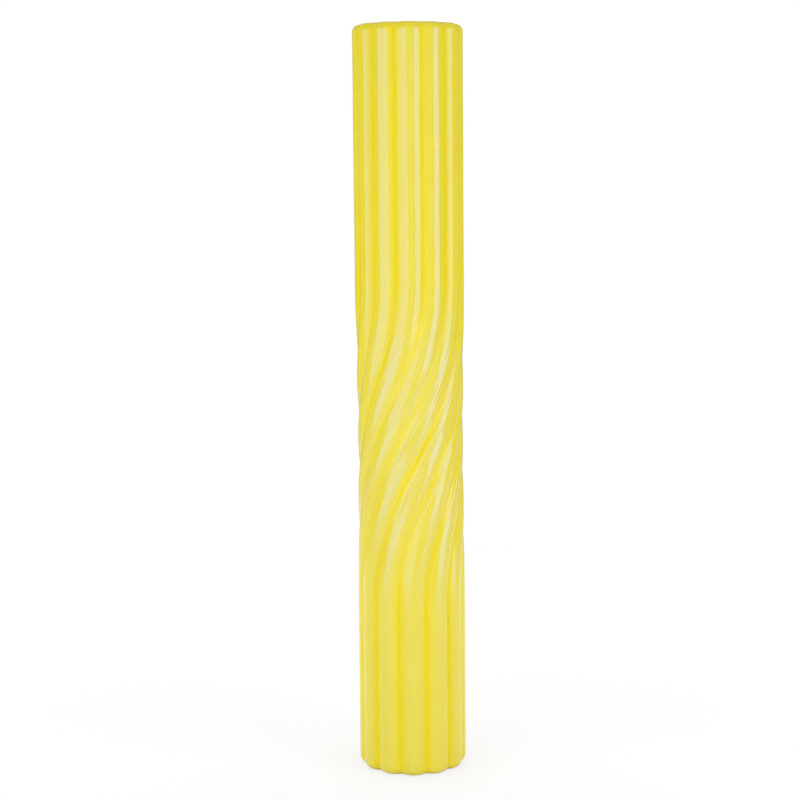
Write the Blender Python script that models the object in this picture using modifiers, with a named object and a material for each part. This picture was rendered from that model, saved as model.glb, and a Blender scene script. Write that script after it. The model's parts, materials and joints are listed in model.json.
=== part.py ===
"""Flexible resistance bar: one solid bar of soft rubber with round ribs along it.

It stands on its lower end, and its middle is wrung a third of a turn, as two hands wring it in use.
The one moulding is cut across into zones, so that it can be wrung and bent further or let go:
each zone turns on the one that carries it about a hinge on the bar's axis.
"""

import math

import bmesh
import bpy

MM = 0.001

# The whole bar
LENGTH = 304.8 * MM
CREST_DIAMETER = 44.45 * MM

# The ribs have round crests and a small fillet in the valley between two
RIB_COUNT = 12
CREST_ROUNDING = 7.0 * MM
VALLEY_FILLET = 0.8 * MM
RIM_FILLET = 3.0 * MM

# The wrung stretch fills what the zones above and below it leave of the length
TWIST_ANGLE = math.radians(120)
TWIST_SLICES = 14
WAIST_DEPTH = 0.6 * MM

# Each bending stretch has this many hinges, and each end runs to its nearest hinge
BEND_HINGES = 4
BEND_HINGE_SPACING = 16.0 * MM
LOWER_END_LENGTH = 16.0 * MM
LOWER_MIDDLE_LENGTH = 8.0 * MM
UPPER_MIDDLE_LENGTH = 16.0 * MM
UPPER_END_LENGTH = 37.8 * MM

# The thin cut between two zones
ZONE_GAP = 0.3 * MM

# How finely the round forms are faceted
CREST_STEPS = 6
VALLEY_STEPS = 2
RIM_STEPS = 4
TWIST_SLICE_STEPS = 2
SMOOTH_BELOW = math.radians(50)

YELLOW = (0.84, 0.71, 0.08, 1.0)
SATIN_ROUGHNESS = 0.42

# Heights that follow from the lengths above
LOWER_HINGES = [LOWER_END_LENGTH + n * BEND_HINGE_SPACING for n in range(BEND_HINGES)]
UPPER_HINGES = [
    LENGTH - UPPER_END_LENGTH - (BEND_HINGES - 1 - n) * BEND_HINGE_SPACING
    for n in range(BEND_HINGES)
]
TWIST_BOTTOM = LOWER_HINGES[-1] + LOWER_MIDDLE_LENGTH
TWIST_TOP = UPPER_HINGES[0] - UPPER_MIDDLE_LENGTH

# A crest faces the front, which is -Y
FRONT = math.radians(-90)


def clear_scene():
    for obj in list(bpy.data.objects):
        bpy.data.objects.remove(obj)


def on_circle(centre, radius, angle):
    return (
        centre[0] + radius * math.cos(angle),
        centre[1] + radius * math.sin(angle),
    )


def rib_outline():
    """Points round the bar's section: for each rib a round crest, then the fillet in the valley."""
    half_pitch = math.pi / RIB_COUNT
    crest_centre = CREST_DIAMETER / 2 - CREST_ROUNDING
    # The fillet touches the crests on both sides of it, so its centre lies on the valley's line
    reach = CREST_ROUNDING + VALLEY_FILLET
    across = crest_centre * math.sin(half_pitch)
    fillet_centre = crest_centre * math.cos(half_pitch) + math.sqrt(reach**2 - across**2)
    crest_end = math.atan2(
        fillet_centre * math.sin(half_pitch),
        fillet_centre * math.cos(half_pitch) - crest_centre,
    )
    points = []
    for rib in range(RIB_COUNT):
        facing = FRONT + rib * 2 * half_pitch
        middle = on_circle((0, 0), crest_centre, facing)
        for step in range(CREST_STEPS + 1):
            turned = crest_end * (2 * step / CREST_STEPS - 1)
            points.append(on_circle(middle, CREST_ROUNDING, facing + turned))
        valley = facing + half_pitch
        middle = on_circle((0, 0), fillet_centre, valley)
        for step in range(1, VALLEY_STEPS):
            turned = (crest_end - half_pitch) * (1 - 2 * step / VALLEY_STEPS)
            points.append(on_circle(middle, VALLEY_FILLET, valley + math.pi + turned))
    return points


def share_of_twist(height):
    """How far up the wrung stretch a height is, from 0 below it to 1 above it."""
    return min(1, max(0, (height - TWIST_BOTTOM) / (TWIST_TOP - TWIST_BOTTOM)))


def wrung(x, y, height):
    """Where wringing the straight bar takes a point. The rubber draws in a little at the waist."""
    share = share_of_twist(height)
    angle = TWIST_ANGLE * share**2 * (3 - 2 * share)
    drawn_in = WAIST_DEPTH * 16 * share**2 * (1 - share) ** 2
    scale = 1 - drawn_in / (CREST_DIAMETER / 2)
    return (
        scale * (x * math.cos(angle) - y * math.sin(angle)),
        scale * (x * math.sin(angle) + y * math.cos(angle)),
        height,
    )


def extruded_section(bottom, top):
    """The straight ribbed section between two heights, as a bmesh with one face on each end."""
    outline = bpy.data.curves.new("outline", "CURVE")
    outline.dimensions = "2D"
    outline.fill_mode = "BOTH"
    outline.extrude = (top - bottom) / 2
    points = rib_outline()
    spline = outline.splines.new("POLY")
    spline.points.add(len(points) - 1)
    spline.use_cyclic_u = True
    for point, (x, y) in zip(spline.points, points):
        point.co = (x, y, 0, 1)
    guide = bpy.data.objects.new("outline", outline)
    bpy.context.scene.collection.objects.link(guide)
    depsgraph = bpy.context.evaluated_depsgraph_get()
    mesh = bpy.data.meshes.new_from_object(guide.evaluated_get(depsgraph))
    bpy.data.objects.remove(guide)
    bpy.data.curves.remove(outline)
    section = bmesh.new()
    section.from_mesh(mesh)
    bpy.data.meshes.remove(mesh)
    bmesh.ops.remove_doubles(section, verts=section.verts, dist=0.01 * MM)
    bmesh.ops.dissolve_limit(
        section, angle_limit=math.radians(0.5), verts=section.verts, edges=section.edges
    )
    bmesh.ops.translate(section, verts=section.verts, vec=(0, 0, (bottom + top) / 2))
    return section


def rubber(name):
    material = bpy.data.materials.new(name)
    material.use_nodes = True
    shader = material.node_tree.nodes["Principled BSDF"]
    shader.inputs["Base Color"].default_value = YELLOW
    shader.inputs["Roughness"].default_value = SATIN_ROUGHNESS
    shader.inputs["Metallic"].default_value = 0
    material.diffuse_color = YELLOW
    return material


def round_rim(obj, height):
    """Rounds the edge of the end face that lies at this height over the object's origin."""
    rim = obj.vertex_groups.new(name="rim")
    at_rim = [v.index for v in obj.data.vertices if abs(v.co.z - height) < ZONE_GAP / 2]
    rim.add(at_rim, 1.0, "REPLACE")
    fillet = obj.modifiers.new("rim_fillet", "BEVEL")
    fillet.limit_method = "VGROUP"
    fillet.vertex_group = rim.name
    fillet.width = RIM_FILLET
    fillet.segments = RIM_STEPS


def add_zone(name, bottom, top, carrier=None, steps=1):
    """One zone of the bar between two heights. Its origin is on the axis at its lower face."""
    low = bottom + (ZONE_GAP / 2 if bottom > 0 else 0)
    high = top - (ZONE_GAP / 2 if top < LENGTH else 0)
    section = extruded_section(low, high)
    for step in range(1, steps):
        bmesh.ops.bisect_plane(
            section,
            geom=section.verts[:] + section.edges[:] + section.faces[:],
            plane_co=(0, 0, low + (high - low) * step / steps),
            plane_no=(0, 0, 1),
        )
    for vertex in section.verts:
        vertex.co = wrung(*vertex.co)
    bmesh.ops.translate(section, verts=section.verts, vec=(0, 0, -bottom))
    mesh = bpy.data.meshes.new(name)
    section.to_mesh(mesh)
    section.free()
    mesh.shade_smooth()
    mesh.set_sharp_from_angle(angle=SMOOTH_BELOW)
    mesh.materials.append(rubber(f"{name}_rubber"))
    zone = bpy.data.objects.new(name, mesh)
    BAR.objects.link(zone)
    zone.location.z = bottom
    if carrier:
        zone.parent = carrier
        zone.location.z -= HEIGHTS[carrier.name]
    HEIGHTS[name] = bottom
    return zone


def add_bending_stretch(name, hinges, carrier):
    """The slices between the hinges of one bending stretch, each carried by the one below it."""
    for number, (bottom, top) in enumerate(zip(hinges, hinges[1:]), start=1):
        carrier = add_zone(f"{name}_{number}", bottom, top, carrier)
    return carrier


def add_wrung_stretch(carrier):
    """The slices of the wrung stretch, each turning by itself on the rubber below them all."""
    height = (TWIST_TOP - TWIST_BOTTOM) / TWIST_SLICES
    for number in range(TWIST_SLICES):
        bottom = TWIST_BOTTOM + number * height
        add_zone(
            f"twist_slice_{number + 1:02}",
            bottom,
            bottom + height,
            carrier,
            TWIST_SLICE_STEPS,
        )


def build_bar():
    lower_end = add_zone("lower_end", 0, LOWER_HINGES[0])
    round_rim(lower_end, 0)
    carrier = add_bending_stretch("lower_bend_slice", LOWER_HINGES, lower_end)
    lower_middle = add_zone("lower_middle", LOWER_HINGES[-1], TWIST_BOTTOM, carrier)
    add_wrung_stretch(lower_middle)
    upper_middle = add_zone("upper_middle", TWIST_TOP, UPPER_HINGES[0], lower_middle)
    carrier = add_bending_stretch("upper_bend_slice", UPPER_HINGES, upper_middle)
    upper_end = add_zone("upper_end", UPPER_HINGES[-1], LENGTH, carrier)
    round_rim(upper_end, LENGTH - UPPER_HINGES[-1])


clear_scene()
BAR = bpy.data.collections.new("flexible_resistance_bar")
bpy.context.scene.collection.children.link(BAR)
HEIGHTS = {}
build_bar()
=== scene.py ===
"""Looks for the flexible resistance bar: its ribbed rubber skin, and the camera, floor and light.

The skin is one smooth bar cut across into closed pieces. One is wrung between the two bodies of
the twist joint, and each bending hinge has a piece round it. Neighbours share the same seam, so
the bar stays whole in every pose. Lengths are in metres where no comment says otherwise.
"""

import json
import math

import bpy
import numpy as np
from mathutils import Matrix, Vector


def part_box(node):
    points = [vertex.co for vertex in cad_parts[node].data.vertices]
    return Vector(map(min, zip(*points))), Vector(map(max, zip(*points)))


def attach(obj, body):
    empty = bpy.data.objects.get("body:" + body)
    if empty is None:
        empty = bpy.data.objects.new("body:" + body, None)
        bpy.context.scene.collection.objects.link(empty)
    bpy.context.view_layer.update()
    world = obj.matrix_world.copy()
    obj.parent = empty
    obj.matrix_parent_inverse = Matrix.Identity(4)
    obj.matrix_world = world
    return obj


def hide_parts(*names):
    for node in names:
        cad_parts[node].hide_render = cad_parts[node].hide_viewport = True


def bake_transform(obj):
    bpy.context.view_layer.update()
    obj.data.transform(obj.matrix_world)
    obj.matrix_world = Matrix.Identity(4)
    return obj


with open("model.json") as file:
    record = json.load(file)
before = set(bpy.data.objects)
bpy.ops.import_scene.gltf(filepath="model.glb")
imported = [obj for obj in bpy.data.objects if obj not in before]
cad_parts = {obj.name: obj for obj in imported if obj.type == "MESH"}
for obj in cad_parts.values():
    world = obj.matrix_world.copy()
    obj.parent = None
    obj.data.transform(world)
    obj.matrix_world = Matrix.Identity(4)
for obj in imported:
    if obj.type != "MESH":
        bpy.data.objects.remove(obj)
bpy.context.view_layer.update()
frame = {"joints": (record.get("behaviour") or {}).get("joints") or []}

MM = 0.001

# From the frame
LOWER_END_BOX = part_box("lower_end")
UPPER_END_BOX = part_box("upper_end")
LENGTH = UPPER_END_BOX[1].z
CREST_RADIUS = -LOWER_END_BOX[0].y
TWIST_BOTTOM = (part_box("lower_middle")[1].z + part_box("twist_slice_01")[0].z) / 2
TWIST_TOP = (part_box("twist_slice_14")[1].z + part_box("upper_middle")[0].z) / 2
HINGE_HEIGHT = {joint["name"]: joint["pos_m"][2] for joint in frame["joints"]}
LOWER_HINGES = [HINGE_HEIGHT[f"lower_bend{n}"] for n in ("", "_2", "_3", "_4")]
UPPER_HINGES = [HINGE_HEIGHT[f"upper_bend{n}"] for n in ("", "_2", "_3", "_4")]
HALF_HINGE_SPACING = (LOWER_HINGES[1] - LOWER_HINGES[0]) / 2

# The bodies that the hinges of each end join, from the lowest up
LOWER_BODIES = ["lower_end"] + [f"lower_bend_slice_{n}" for n in (1, 2, 3)] + ["lower_middle"]
UPPER_BODIES = ["upper_middle"] + [f"upper_bend_slice_{n}" for n in (1, 2, 3)] + ["upper_end"]

# The ribs and the wringing, as the solids have them
RIB_COUNT = 12
CREST_ROUNDING = 7.0 * MM
VALLEY_FILLET = 0.8 * MM
RIM_FILLET = 3.0 * MM
TWIST_ANGLE = math.radians(120)
TWIST_SLICES = 14
WAIST_DEPTH = 0.6 * MM

# The valleys get this much shallower at the middle of the wrung stretch
VALLEY_LIFT = 0.5 * MM

# A crest faces the front, which is -Y
FRONT = math.radians(-90)

# How finely the skin is drawn
CREST_STEPS = 38
VALLEY_STEPS = 10
RIM_RINGS = 9
TWIST_ROW = 0.8 * MM
STRAIGHT_ROW = 1.6 * MM
SMOOTH_BELOW = math.radians(50)

# Folds of the wrung rubber that the photograph shows: where each lies on the unwrung section in
# degrees round from the front, the heights in millimetres between which it runs, how much it leans
# off the ribs in degrees per millimetre, and its width and depth in millimetres
FRONT_FOLDS = [
    (-37.0, 104, 128, 0.10, 0.45, 0.22),
    (-10.0, 100, 128, 0.15, 0.45, 0.20),
    (-65.5, 126, 149, 0.10, 0.42, 0.22),
    (-44.6, 122, 146, 0.00, 0.38, 0.16),
    (-84.0, 144, 174, 0.15, 0.42, 0.20),
    (-102.0, 145, 158, 0.10, 0.38, 0.14),
]
FOLD_SEED = 7

# A fold fades out towards its ends as a sine to this power
FOLD_FADE = 1.5

# More folds in the same units, on the ribs whose wrung part the photograph doesn't show
FRONT_RIBS = (-110, 0)
FOLDS_PER_RIB = 2
RIB_FOLD_OFF_CREST = (6, 13)
RIB_FOLD_MIDDLE = (112, 164)
RIB_FOLD_LENGTH = (14, 26)
RIB_FOLD_LEAN = (0, 0.2)
RIB_FOLD_WIDTH = (0.38, 0.52)
RIB_FOLD_DEPTH = (0.08, 0.15)

# Finer and longer folds in the same units, anywhere round the bar
FINE_FOLDS = 60
FINE_FOLD_MIDDLE = (100, 175)
FINE_FOLD_LENGTH = (30, 70)
FINE_FOLD_LEAN = (-0.05, 0.12)
FINE_FOLD_WIDTH = (0.28, 0.40)
FINE_FOLD_DEPTH = (0.03, 0.08)

# Fine ripples along the ribs, strongest where the rubber is wrung most. Each goes so many times
# round the bar, drifts by radians per millimetre and swells every so many millimetres
RIPPLE_STRAIGHT = 0.015 * MM
RIPPLE_WRUNG = 0.032 * MM
RIPPLE_SEED = 3
RIPPLE_COUNTS = (17, 23, 31, 37, 43, 53, 61, 71, 83, 97, 113)
RIPPLE_LOWER_ABOVE = 40
RIPPLE_SIZE = (0.4, 1.0)
RIPPLE_DRIFT = (-0.02, 0.02)
RIPPLE_SWELL = (30, 70)
RIPPLE_SWELL_SHARE = 0.4
RIPPLE_SWELL_SHIFT = 3

# The rubber's colours, with painted shade in the valleys and painted highlight streaks in the wrung
# stretch. The scale of a noise is its cells in a metre
SLOT = "yellow_rubber"
CREST_COLOUR = (0.765, 0.65, 0.008, 1)
CREST_COLOUR_DEEPER = (0.765, 0.635, 0.003, 1)
MOTTLE_SCALE = 60
MOTTLE_DETAIL = 3
MOTTLE_RANGE = (0.35, 0.65)
VALLEY_STARTS = 0.22 * MM
# Painted shade: the valleys are coloured deeper gold, as if shaded
VALLEY_PAINTED_SHADE = (0.73, 0.59, 0.002, 1)
# Painted highlight: pale streaks in the wrung stretch, coloured as if fine folds caught the lamps
STREAK_PAINTED_HIGHLIGHT = (0.69, 0.63, 0.20, 1)
STREAK_SHARE = 0.65
STREAK_SCALE = 700
STREAK_DETAIL = 2
STREAK_ALONG = 0.02
STREAK_RANGE = (0.46, 0.68)
STRAIN_FADE = 35 * MM
SPECK_COLOUR = (0.30, 0.20, 0.02, 1)
SPECK_SPACING = 8 * MM
SPECK_SIZE = 0.3 * MM

# The rubber's gloss, and a grain too fine for the mesh
GLOSS_ROUGHNESS = (0.15, 0.22)
GLOSS_SCALE = 90
GLOSS_DETAIL = 2
GLOSS_RANGE = (0.3, 0.7)
VALLEY_DULLNESS = 0.06
SPECULAR_LEVEL = 1.0
REFRACTION = 1.6
CREST_GLOSS = (0.08, 0.25, 1.0, 1)
# Painted shade: the valleys' gloss is tinted dimmer and warmer than the crests', as if shaded
VALLEY_PAINTED_SHADE_GLOSS = (0.25, 0.3, 0.15, 1)
GRAIN_SCALE = 2500
GRAIN_DETAIL = 2
GRAIN_HEIGHT = 0.02 * MM
GRAIN_STRENGTH = 0.03

# The camera stands where the photograph was taken from. The sensor is in millimetres
IMAGE_SIDE = 800
SENSOR = 36.0
FOCAL_PIXELS = 1832.8
CLIP_START = 0.01
CLIP_END = 20
CAMERA_DISTANCE = 753.7 * MM
CAMERA_ELEVATION = math.radians(7.58)
CAMERA_AZIMUTH = math.radians(-1.035)
CAMERA_ROLL = math.radians(-0.507)
AIMED_AT = Vector((-4.256 * MM, 0, 153.22 * MM))

# The floor glows where the camera sees it, less so near the bar, and so fades into the white
FLOOR_REACH = 4.0
FLOOR_COLOUR = (0.8, 0.8, 0.8, 1)
FLOOR_ROUGHNESS = 0.9
FLOOR_GLOW_NEAR = 0.05
FLOOR_GLOW_FAR = 0.45
FLOOR_GLOW = (0.7, 1.0)

# The world is white where it is seen and dim as a light. The gloss shows a little of the white
WORLD_COLOUR = (1, 1, 1, 1)
WORLD_AMBIENT = 0.24
WORLD_SEEN = 1.0
WORLD_IN_GLOSS = 0.05

# Upright softboxes round the bar: azimuth from the front and spread in degrees, brightness, where
# 1 looks as bright as white, distance, and whether the gloss shows it
SOFTBOX_DISTANCE = 0.42
FILL_DISTANCE = 1.1
SOFTBOX_HEIGHTS = (0.005, 0.45)
SOFTBOXES = {
    "left_softbox": (-45, 68, 1.85, SOFTBOX_DISTANCE, True),
    "right_softbox": (54, 36, 2.75, SOFTBOX_DISTANCE, True),
    "front_fill": (9, 30, 0.7, FILL_DISTANCE, True),
    "rear_softbox": (180, 36, 1.65, SOFTBOX_DISTANCE, False),
    "rear_left_fill": (-130, 50, 1.3, SOFTBOX_DISTANCE, False),
    "rear_right_fill": (130, 50, 1.35, SOFTBOX_DISTANCE, False),
}
OVERHEAD_SIDE = 1.2
OVERHEAD_HEIGHT = 1.0
OVERHEAD_BRIGHTNESS = 1.25


def add_camera():
    level = math.cos(CAMERA_ELEVATION)
    eye = Vector((0, 0, LENGTH / 2)) + CAMERA_DISTANCE * Vector(
        (
            math.sin(CAMERA_AZIMUTH) * level,
            -math.cos(CAMERA_AZIMUTH) * level,
            math.sin(CAMERA_ELEVATION),
        )
    )
    forward = (AIMED_AT - eye).normalized()
    right = forward.cross(Vector((0, 0, 1))).normalized()
    up = right.cross(forward)
    cos, sin = math.cos(CAMERA_ROLL), math.sin(CAMERA_ROLL)
    right, up = cos * right + sin * up, cos * up - sin * right
    camera = bpy.data.cameras.new("camera")
    camera.sensor_width = SENSOR
    camera.lens = FOCAL_PIXELS * SENSOR / IMAGE_SIDE
    camera.clip_start = CLIP_START
    camera.clip_end = CLIP_END
    obj = bpy.data.objects.new("camera", camera)
    axes = Matrix((right, up, -forward)).transposed()
    obj.matrix_world = Matrix.Translation(eye) @ axes.to_4x4()
    bpy.context.scene.collection.objects.link(obj)
    bpy.context.scene.camera = obj


def towards(angle):
    """The direction at this angle across the bar."""
    return np.array((math.cos(angle), math.sin(angle)))


def rib_section():
    """Points round the straight section, and the direction that the skin faces at each."""
    half_pitch = math.pi / RIB_COUNT
    crest_centre = CREST_RADIUS - CREST_ROUNDING
    # The fillet touches the crests on both sides of it, so its centre lies on the valley's line
    reach = CREST_ROUNDING + VALLEY_FILLET
    across = crest_centre * math.sin(half_pitch)
    fillet_centre = crest_centre * math.cos(half_pitch) + math.sqrt(reach**2 - across**2)
    crest_end = math.atan2(
        fillet_centre * math.sin(half_pitch),
        fillet_centre * math.cos(half_pitch) - crest_centre,
    )
    points, normals = [], []
    for rib in range(RIB_COUNT):
        crest = FRONT + rib * 2 * half_pitch
        for step in range(CREST_STEPS + 1):
            outward = towards(crest + crest_end * (2 * step / CREST_STEPS - 1))
            points.append(crest_centre * towards(crest) + CREST_ROUNDING * outward)
            normals.append(outward)
        valley = crest + half_pitch
        for step in range(1, VALLEY_STEPS):
            turned = (crest_end - half_pitch) * (1 - 2 * step / VALLEY_STEPS)
            inward = towards(valley + math.pi + turned)
            points.append(fillet_centre * towards(valley) + VALLEY_FILLET * inward)
            normals.append(-inward)
    return np.array(points), np.array(normals)


SECTION, SECTION_NORMAL = rib_section()
POINTS_ROUND = len(SECTION)
SECTION_RADIUS = np.linalg.norm(SECTION, axis=1)
VALLEY_RADIUS = float(SECTION_RADIUS.min())
SECTION_DEPTH = (CREST_RADIUS - SECTION_RADIUS) / (CREST_RADIUS - VALLEY_RADIUS)
SECTION_ANGLE = np.degrees(np.arctan2(SECTION[:, 1], SECTION[:, 0]) - FRONT)


def turned_back(angle):
    """The same angle between -180 and 180 degrees."""
    return (angle + 180) % 360 - 180


def share_of_twist(height):
    """How far up the wrung stretch a height is, from 0 below it to 1 above it."""
    return min(1.0, max(0.0, (height - TWIST_BOTTOM) / (TWIST_TOP - TWIST_BOTTOM)))


def strain(height):
    """How strained the rubber is, from 0 off the wrung stretch to 1 at its middle."""
    share = share_of_twist(height)
    return 16 * share**2 * (1 - share) ** 2


def all_folds():
    """The folds that the photograph shows, then the others."""
    folds = list(FRONT_FOLDS)
    dice = np.random.default_rng(FOLD_SEED)
    for rib in range(RIB_COUNT):
        crest = turned_back(rib * 360 / RIB_COUNT)
        if FRONT_RIBS[0] < crest < FRONT_RIBS[1]:
            continue
        for _ in range(FOLDS_PER_RIB):
            side = dice.choice((-1, 1))
            angle = crest + side * dice.uniform(*RIB_FOLD_OFF_CREST)
            middle = dice.uniform(*RIB_FOLD_MIDDLE)
            length = dice.uniform(*RIB_FOLD_LENGTH)
            lean = dice.uniform(*RIB_FOLD_LEAN)
            width = dice.uniform(*RIB_FOLD_WIDTH)
            depth = dice.uniform(*RIB_FOLD_DEPTH)
            folds.append((angle, middle - length / 2, middle + length / 2, lean, width, depth))
    for _ in range(FINE_FOLDS):
        middle = dice.uniform(*FINE_FOLD_MIDDLE)
        length = dice.uniform(*FINE_FOLD_LENGTH)
        angle = dice.uniform(-180, 180)
        lean = dice.uniform(*FINE_FOLD_LEAN)
        width = dice.uniform(*FINE_FOLD_WIDTH)
        depth = dice.choice((-1, 1)) * dice.uniform(*FINE_FOLD_DEPTH)
        folds.append((angle, middle - length / 2, middle + length / 2, lean, width, depth))
    return folds


def all_ripples():
    """(count, size, phase, drift, swell) of each ripple. The finer ones are lower."""
    dice = np.random.default_rng(RIPPLE_SEED)
    return [
        (
            count,
            dice.uniform(*RIPPLE_SIZE) * min(1.0, RIPPLE_LOWER_ABOVE / count),
            dice.uniform(0, 2 * math.pi),
            dice.uniform(*RIPPLE_DRIFT),
            dice.uniform(*RIPPLE_SWELL),
        )
        for count in RIPPLE_COUNTS
    ]


FOLDS = all_folds()
RIPPLES = all_ripples()


def fold_lift(height):
    """How far the folds lift or sink each point of the ring at this height.

    A fold is a groove on one side of its line and a ridge on the other, each by its depth.
    """
    lift = np.zeros(POINTS_ROUND)
    for angle, low, high, lean, width, depth in FOLDS:
        along = (height / MM - low) / (high - low)
        if not 0 < along < 1:
            continue
        fade = math.sin(math.pi * along) ** FOLD_FADE
        line = angle + lean * (height / MM - (low + high) / 2)
        off = np.radians(turned_back(SECTION_ANGLE - line)) * SECTION_RADIUS / (width * MM)
        lift += depth * MM * fade * off * np.exp(0.5 - off**2 / 2)
    return lift


def ripple_lift(height):
    """How far the fine ripples sink each point of the ring at this height, as a lift."""
    lift = np.zeros(POINTS_ROUND)
    for count, size, phase, drift, swell in RIPPLES:
        slid = phase + drift * (height / MM - (TWIST_BOTTOM + TWIST_TOP) / 2 / MM)
        wave = math.cos(2 * math.pi * height / MM / swell + RIPPLE_SWELL_SHIFT * phase)
        swollen = 1 - RIPPLE_SWELL_SHARE + RIPPLE_SWELL_SHARE * wave
        lift += swollen * size * np.cos(count * np.radians(SECTION_ANGLE) + slid)
    scale = RIPPLE_STRAIGHT + (RIPPLE_WRUNG - RIPPLE_STRAIGHT) * strain(height)
    return (lift - lift.max()) * scale


def straight_ring(height):
    """The ring of the unwrung section at this height, as x, y, z points."""
    return np.column_stack((SECTION, np.full(POINTS_ROUND, height)))


def wrung_ring(height, inset):
    """The skin's ring at this height, inset from the section, as x, y, z points."""
    lift = fold_lift(height) + ripple_lift(height) * (1 - inset / RIM_FILLET)
    lift += VALLEY_LIFT * strain(height) * SECTION_DEPTH**2
    shape = SECTION + SECTION_NORMAL * (lift - inset)[:, None]
    share = share_of_twist(height)
    angle = TWIST_ANGLE * share**2 * (3 - 2 * share)
    cos, sin = math.cos(angle), math.sin(angle)
    scale = 1 - WAIST_DEPTH * strain(height) / CREST_RADIUS
    x = scale * (shape[:, 0] * cos - shape[:, 1] * sin)
    y = scale * (shape[:, 0] * sin + shape[:, 1] * cos)
    return np.column_stack((x, y, np.full(POINTS_ROUND, height)))


def even_rings(low, high, row):
    """(height, inset) of the rings between two heights, about a row apart."""
    count = max(1, round((high - low) / row))
    return [(height, 0.0) for height in np.linspace(low, high, count + 1)]


def rim_rings(end, inward):
    """(height, inset) of the rings that round the rim off, from the end face in."""
    rings = []
    for step in range(RIM_RINGS):
        turned = math.pi / 2 * step / RIM_RINGS
        height = end + inward * RIM_FILLET * (1 - math.cos(turned))
        rings.append((height, RIM_FILLET * (1 - math.sin(turned))))
    return rings


def add_skin(name, rings, material):
    """A closed solid through these (height, inset) rings, with a flat face on each end."""
    end_centres = [(0, 0, rings[0][0]), (0, 0, rings[-1][0])]
    points = np.vstack([wrung_ring(height, inset) for height, inset in rings] + [end_centres])
    straight = np.vstack([straight_ring(height) for height, _ in rings] + [end_centres])
    here = np.arange(POINTS_ROUND)
    after = np.roll(here, -1)
    faces = []
    for row in range(len(rings) - 1):
        below, above = row * POINTS_ROUND, (row + 1) * POINTS_ROUND
        quads = (here + below, after + below, after + above, here + above)
        faces += np.column_stack(quads).tolist()
    last = (len(rings) - 1) * POINTS_ROUND
    bottom, top = len(points) - 2, len(points) - 1
    faces += [(bottom, int(b), int(a)) for a, b in zip(here, after)]
    faces += [(top, int(a + last), int(b + last)) for a, b in zip(here, after)]
    mesh = bpy.data.meshes.new(name)
    mesh.from_pydata(points.tolist(), [], faces)
    mesh.shade_smooth()
    mesh.set_sharp_from_angle(angle=SMOOTH_BELOW)
    stored = mesh.attributes.new("straight_position", "FLOAT_VECTOR", "POINT")
    stored.data.foreach_set("vector", straight.astype(np.float32).ravel())
    mesh.materials.append(material)
    obj = bpy.data.objects.new(name, mesh)
    bpy.context.scene.collection.objects.link(obj)
    return obj


def feed(tree, socket, value):
    """Links the socket to another node's output, or sets its value."""
    if isinstance(value, bpy.types.NodeSocket):
        tree.links.new(value, socket)
    else:
        socket.default_value = value


def add_node(tree, kind, inputs, **settings):
    """A new node. Inputs go by the socket's name or number."""
    node = tree.nodes.new(kind)
    for name, value in settings.items():
        setattr(node, name, value)
    for name, value in inputs.items():
        feed(tree, node.inputs[name], value)
    return node


def noise(tree, place, scale, detail, along=1.0):
    """Noise of this scale, where along below 1 draws it out along the bar."""
    drawn = add_node(tree, "ShaderNodeMapping", {"Vector": place, "Scale": (1, 1, along)})
    inputs = {"Vector": drawn.outputs["Vector"], "Scale": scale, "Detail": detail}
    return add_node(tree, "ShaderNodeTexNoise", inputs).outputs["Fac"]


def ranged(tree, value, low, high, to_low=0.0, to_high=1.0):
    """The value taken from one range to another and kept inside it."""
    inputs = {
        "Value": value,
        "From Min": low,
        "From Max": high,
        "To Min": to_low,
        "To Max": to_high,
    }
    return add_node(tree, "ShaderNodeMapRange", inputs).outputs["Result"]


def worked_out(tree, operation, *values, **settings):
    """What this operation of a Math node makes of the values."""
    inputs = dict(enumerate(values))
    node = add_node(tree, "ShaderNodeMath", inputs, operation=operation, **settings)
    return node.outputs["Value"]


def mixed(tree, share, first, second):
    """The first colour, turning into the second by share."""
    # Inputs 6 and 7 and output 2 are the ones for colours
    inputs = {"Factor": share, 6: first, 7: second}
    return add_node(tree, "ShaderNodeMix", inputs, data_type="RGBA").outputs[2]


def valley_share(tree, place):
    """From 0 on the crests and the end faces to 1 at the bottom of a valley. It places the painted
    valley shade in colour and gloss tint, and the duller valley roughness.
    """
    x, y, z = add_node(tree, "ShaderNodeSeparateXYZ", {"Vector": place}).outputs
    below_top = ranged(tree, z, LENGTH, LENGTH - RIM_FILLET)
    above_bottom = ranged(tree, z, 0, RIM_FILLET)
    on_side = worked_out(tree, "MULTIPLY", below_top, above_bottom)
    squares = [worked_out(tree, "MULTIPLY", value, value) for value in (x, y)]
    radius = worked_out(tree, "SQRT", worked_out(tree, "ADD", *squares))
    deep = ranged(tree, radius, CREST_RADIUS - VALLEY_STARTS, VALLEY_RADIUS)
    return worked_out(tree, "MULTIPLY", deep, on_side)


def strained_share(tree, place):
    """From 0 in the straight ends to 1 where the rubber is wrung most. It places the painted
    highlight streaks.
    """
    height = add_node(tree, "ShaderNodeSeparateXYZ", {"Vector": place}).outputs["Z"]
    above = ranged(tree, height, TWIST_BOTTOM, TWIST_BOTTOM + STRAIN_FADE)
    below = ranged(tree, height, TWIST_TOP, TWIST_TOP - STRAIN_FADE)
    return worked_out(tree, "MULTIPLY", above, below)


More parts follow.
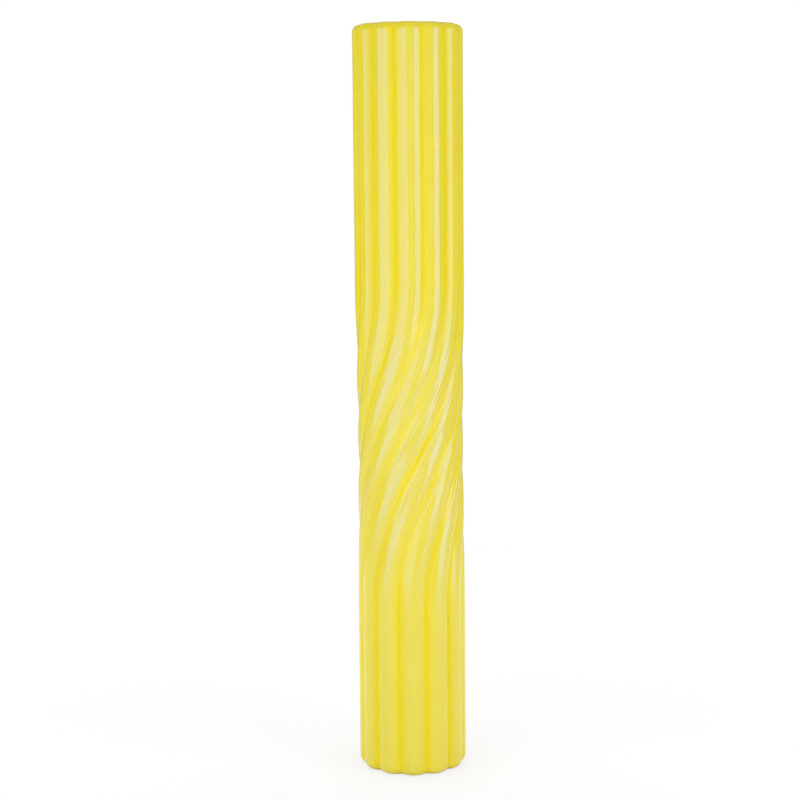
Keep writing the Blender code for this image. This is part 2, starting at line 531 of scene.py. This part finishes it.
def rubber_colour_and_painted_light(tree, place, valleys):
    """Lemon crests, painted shade that turns the valleys golden, pale painted highlight streaks in
    the strained rubber, and a rare dark speck.
    """
    mottled = ranged(tree, noise(tree, place, MOTTLE_SCALE, MOTTLE_DETAIL), *MOTTLE_RANGE)
    crests = mixed(tree, mottled, CREST_COLOUR, CREST_COLOUR_DEEPER)
    # Painted shade: the valleys turn deeper gold
    colour = mixed(tree, valleys, crests, VALLEY_PAINTED_SHADE)
    drawn = noise(tree, place, STREAK_SCALE, STREAK_DETAIL, STREAK_ALONG)
    # Painted highlight streaks in the wrung stretch
    streaks = worked_out(
        tree, "MULTIPLY", ranged(tree, drawn, *STREAK_RANGE), strained_share(tree, place)
    )
    pale = worked_out(tree, "MULTIPLY", streaks, STREAK_SHARE)
    colour = mixed(tree, pale, colour, STREAK_PAINTED_HIGHLIGHT)
    cells = {"Vector": place, "Scale": 1 / SPECK_SPACING}
    away = add_node(tree, "ShaderNodeTexVoronoi", cells).outputs["Distance"]
    specks = ranged(tree, away, SPECK_SIZE / SPECK_SPACING, 0.0)
    return mixed(tree, specks, colour, SPECK_COLOUR)


def rubber_roughness(tree, place, valleys):
    """A patchy satin gloss, duller in the valleys."""
    patches = noise(tree, place, GLOSS_SCALE, GLOSS_DETAIL)
    rough = ranged(tree, patches, *GLOSS_RANGE, *GLOSS_ROUGHNESS)
    return worked_out(tree, "ADD", rough, worked_out(tree, "MULTIPLY", valleys, VALLEY_DULLNESS))


def rubber_material():
    """The rubber. It goes by the unwrung position, so its marks stay on the skin in every pose."""
    material = bpy.data.materials.new(SLOT)
    material.use_nodes = True
    tree = material.node_tree
    shader = tree.nodes["Principled BSDF"]
    stored = add_node(tree, "ShaderNodeAttribute", {}, attribute_name="straight_position")
    place = stored.outputs["Vector"]
    valleys = valley_share(tree, place)
    feed(tree, shader.inputs["Base Color"], rubber_colour_and_painted_light(tree, place, valleys))
    feed(tree, shader.inputs["Roughness"], rubber_roughness(tree, place, valleys))
    # Painted shade in the gloss: the valleys reflect a dimmer, warmer tint than the crests
    feed(tree, shader.inputs["Specular Tint"], mixed(tree, valleys, CREST_GLOSS, VALLEY_PAINTED_SHADE_GLOSS))
    shader.inputs["IOR"].default_value = REFRACTION
    shader.inputs["Specular IOR Level"].default_value = SPECULAR_LEVEL
    grain = {
        "Height": noise(tree, place, GRAIN_SCALE, GRAIN_DETAIL),
        "Strength": GRAIN_STRENGTH,
        "Distance": GRAIN_HEIGHT,
    }
    feed(tree, shader.inputs["Normal"], add_node(tree, "ShaderNodeBump", grain).outputs["Normal"])
    return material


def add_bending_skins(side, hinges, bodies, material):
    """A piece for each bending hinge of one end, meeting its neighbours half way between two."""
    for number, hinge in enumerate(hinges, start=1):
        low, high = hinge - HALF_HINGE_SPACING, hinge + HALF_HINGE_SPACING
        rings = even_rings(low, high, STRAIGHT_ROW)
        piece = add_skin(f"{side}_bend_skin_{number}", rings, material)
        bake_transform(piece)
        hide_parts(bodies[number - 1], bodies[number])


def add_bar():
    rubber = rubber_material()

    rings = rim_rings(0, 1)
    rings += even_rings(RIM_FILLET, LOWER_HINGES[0] - HALF_HINGE_SPACING, STRAIGHT_ROW)
    piece = add_skin("lower_end_skin", rings, rubber)
    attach(piece, "lower_end")
    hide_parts("lower_end")
    add_bending_skins("lower", LOWER_HINGES, LOWER_BODIES, rubber)

    rings = even_rings(TWIST_BOTTOM, TWIST_TOP, TWIST_ROW)
    piece = add_skin("wrung_skin", rings, rubber)
    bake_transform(piece)
    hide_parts(*[f"twist_slice_{n:02}" for n in range(1, TWIST_SLICES + 1)])

    rings = even_rings(TWIST_TOP, UPPER_HINGES[0] - HALF_HINGE_SPACING, STRAIGHT_ROW)
    piece = add_skin("upper_middle_skin", rings, rubber)
    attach(piece, "upper_middle")
    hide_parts("upper_middle")
    add_bending_skins("upper", UPPER_HINGES, UPPER_BODIES, rubber)

    rings = even_rings(UPPER_HINGES[-1] + HALF_HINGE_SPACING, LENGTH - RIM_FILLET, STRAIGHT_ROW)
    rings += rim_rings(LENGTH, -1)[::-1]
    piece = add_skin("upper_end_skin", rings, rubber)
    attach(piece, "upper_end")
    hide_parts("upper_end")


def floor_material():
    """A matt pale floor that keeps its shadow but glows for the camera."""
    material = bpy.data.materials.new("floor")
    material.use_nodes = True
    tree = material.node_tree
    shader = tree.nodes["Principled BSDF"]
    shader.inputs["Base Color"].default_value = FLOOR_COLOUR
    shader.inputs["Roughness"].default_value = FLOOR_ROUGHNESS
    place = add_node(tree, "ShaderNodeNewGeometry", {}).outputs["Position"]
    length = add_node(tree, "ShaderNodeVectorMath", {0: place}, operation="LENGTH")
    away = ranged(tree, length.outputs["Value"], FLOOR_GLOW_NEAR, FLOOR_GLOW_FAR, *FLOOR_GLOW)
    path = add_node(tree, "ShaderNodeLightPath", {})
    glow = add_node(tree, "ShaderNodeEmission", {"Strength": 1.0})
    inputs = {
        "Fac": worked_out(tree, "MULTIPLY", away, path.outputs["Is Camera Ray"]),
        1: shader.outputs["BSDF"],
        2: glow.outputs["Emission"],
    }
    mix = add_node(tree, "ShaderNodeMixShader", inputs)
    feed(tree, tree.nodes["Material Output"].inputs["Surface"], mix.outputs["Shader"])
    return material


def add_floor():
    side = FLOOR_REACH
    corners = [(-side, -side, 0), (side, -side, 0), (side, side, 0), (-side, side, 0)]
    mesh = bpy.data.meshes.new("floor")
    mesh.from_pydata(corners, [], [(0, 1, 2, 3)])
    mesh.materials.append(floor_material())
    obj = bpy.data.objects.new("floor", mesh)
    bpy.context.scene.collection.objects.link(obj)


def add_world():
    world = bpy.data.worlds.new("world")
    bpy.context.scene.world = world
    world.use_nodes = True
    tree = world.node_tree
    path = add_node(tree, "ShaderNodeLightPath", {}).outputs
    seen = worked_out(tree, "MAXIMUM", path["Is Camera Ray"], path["Is Transmission Ray"])
    in_gloss = path["Is Glossy Ray"]
    shown = worked_out(tree, "MULTIPLY_ADD", in_gloss, WORLD_IN_GLOSS, seen, use_clamp=True)
    background = tree.nodes["Background"]
    background.inputs["Color"].default_value = WORLD_COLOUR
    strength = ranged(tree, shown, 0, 1, WORLD_AMBIENT, WORLD_SEEN)
    feed(tree, background.inputs["Strength"], strength)


def add_lamp(name, place, rotation, width, height, brightness, in_gloss):
    """A lamp that looks as bright as white at a brightness of 1, and that the camera never sees."""
    light = bpy.data.lights.new(name, "AREA")
    light.shape = "RECTANGLE"
    light.size = width
    light.size_y = height
    light.energy = brightness * math.pi * width * height
    obj = bpy.data.objects.new(name, light)
    obj.location = place
    obj.rotation_euler = rotation
    obj.visible_camera = False
    obj.visible_glossy = in_gloss
    bpy.context.scene.collection.objects.link(obj)


def add_lights():
    low, high = SOFTBOX_HEIGHTS
    for name, (azimuth, spread, brightness, distance, in_gloss) in SOFTBOXES.items():
        turned = FRONT + math.radians(azimuth)
        place = (distance * math.cos(turned), distance * math.sin(turned), (low + high) / 2)
        rotation = (math.pi / 2, 0, turned + math.pi / 2)
        width = 2 * distance * math.tan(math.radians(spread / 2))
        add_lamp(name, place, rotation, width, high - low, brightness, in_gloss)
    add_lamp(
        "overhead_softbox",
        (0, 0, OVERHEAD_HEIGHT),
        (0, 0, 0),
        OVERHEAD_SIDE,
        OVERHEAD_SIDE,
        OVERHEAD_BRIGHTNESS,
        False,
    )


add_camera()
add_bar()
add_floor()
add_world()
add_lights()

bpy.context.scene.view_settings.view_transform = "Standard"
